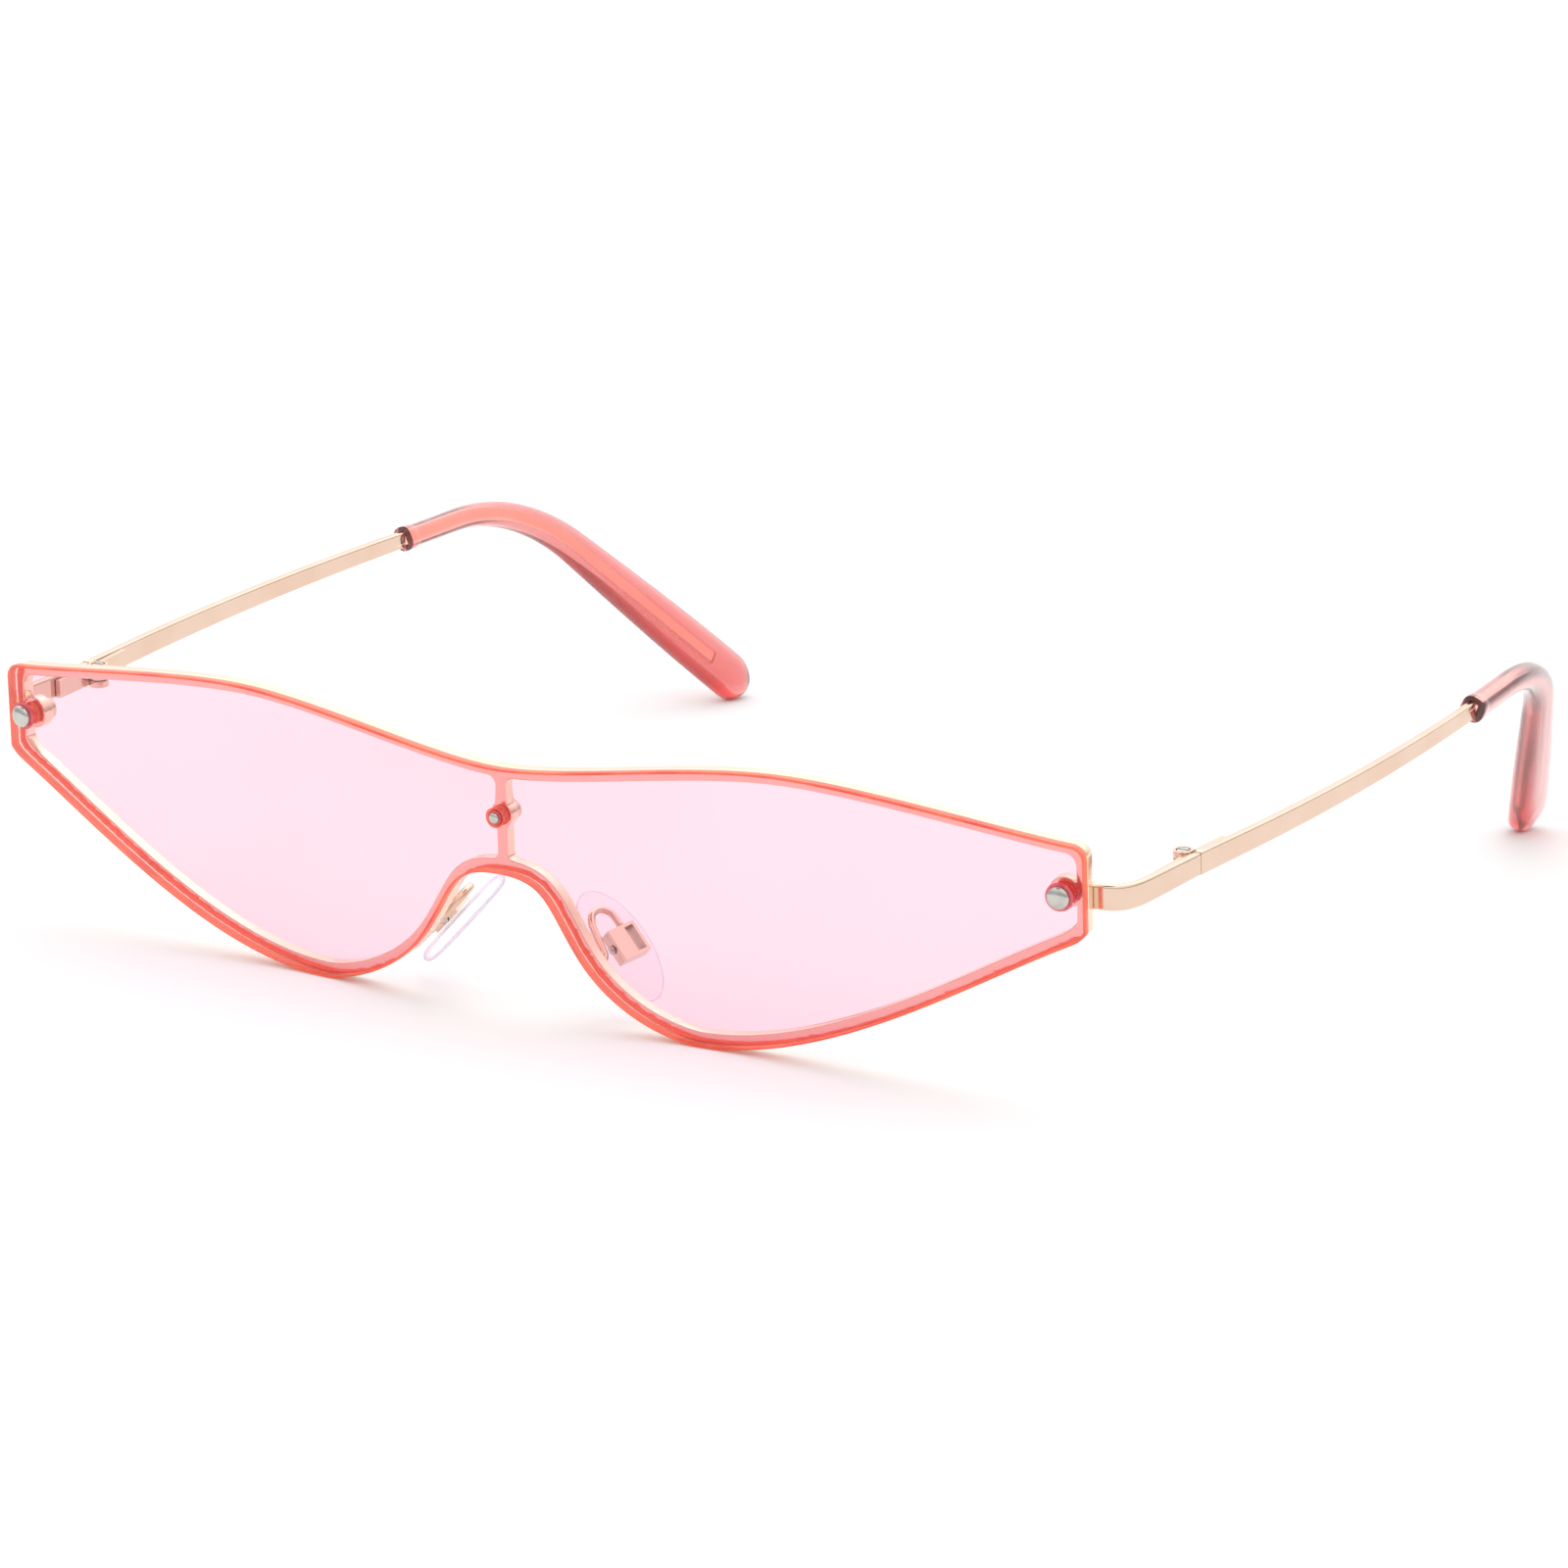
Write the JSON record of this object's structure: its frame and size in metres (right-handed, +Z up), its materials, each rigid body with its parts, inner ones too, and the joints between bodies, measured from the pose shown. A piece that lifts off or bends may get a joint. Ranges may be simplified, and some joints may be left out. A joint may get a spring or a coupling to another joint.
{
  "type": "cat eye sunglasses",
  "caption": "Cat eye shield sunglasses: a curved pink lens pinned to a slim gold frame, with folding temples, red ear tips and rocking nose pads.",
  "frame": {"origin": "centre of the bounding box's base, which is the plane that the glasses stand on with the temples open", "axes": "+X to the right of a front view, across the front; +Y from the lens back along the temples; +Z up; the lens faces -Y"},
  "size_m": [0.1592, 0.1442, 0.0341],
  "materials": {
    "tinted_lens": "clear polished polycarbonate with a light pink tint",
    "champagne_gold": "polished champagne gold plate",
    "polished_steel": "polished silver",
    "pink_bush": "translucent pink nylon",
    "red_acetate": "glossy translucent red acetate",
    "clear_silicone": "clear smooth silicone"
  },
  "bodies": {
    "front": {"shield_lens": "tinted_lens", "front_frame": "champagne_gold", "lens_pin_left": "polished_steel", "lens_bush_left": "pink_bush", "lens_nut_left": "champagne_gold", "lens_pin_centre": "polished_steel", "lens_bush_centre": "pink_bush", "lens_nut_centre": "champagne_gold", "lens_pin_right": "polished_steel", "lens_bush_right": "pink_bush", "lens_nut_right": "champagne_gold", "endpiece_left": "champagne_gold", "hinge_front_leaf_left": "champagne_gold", "hinge_screw_left": "polished_steel", "pad_arm_left": "champagne_gold", "pad_box_left": "champagne_gold", "pad_screw_left": "polished_steel", "endpiece_right": "champagne_gold", "hinge_front_leaf_right": "champagne_gold", "hinge_screw_right": "polished_steel", "pad_arm_right": "champagne_gold", "pad_box_right": "champagne_gold", "pad_screw_right": "polished_steel"},
    "left_temple": {"temple_arm_left": "champagne_gold", "temple_tip_left": "red_acetate", "hinge_temple_leaf_left": "champagne_gold"},
    "right_temple": {"temple_arm_right": "champagne_gold", "temple_tip_right": "red_acetate", "hinge_temple_leaf_right": "champagne_gold"},
    "left_pad": {"nose_pad_left": "clear_silicone"},
    "right_pad": {"nose_pad_right": "clear_silicone"}
  },
  "joints": [
    {"name": "right_temple_fold", "type": "hinge", "parent": "front", "child": "right_temple", "pos_m": [0.0762, -0.04525, 0.02444], "axis": [0, -0.0704, 0.9975], "range_deg": [0, 92]},
    {"name": "left_temple_fold", "type": "hinge", "parent": "front", "child": "left_temple", "pos_m": [-0.0762, -0.04525, 0.02444], "axis": [0, 0.0704, -0.9975], "range_deg": [0, 86]},
    {"name": "right_pad_rock", "type": "hinge", "parent": "front", "child": "right_pad", "pos_m": [0.01211, -0.06371, 0.00848], "axis": [0.2595, 0.9493, 0.1776], "range_deg": [-6, 6]},
    {"name": "left_pad_rock", "type": "hinge", "parent": "front", "child": "left_pad", "pos_m": [-0.01211, -0.06371, 0.00848], "axis": [-0.2595, 0.9493, 0.1776], "range_deg": [-6, 6]}
  ]
}
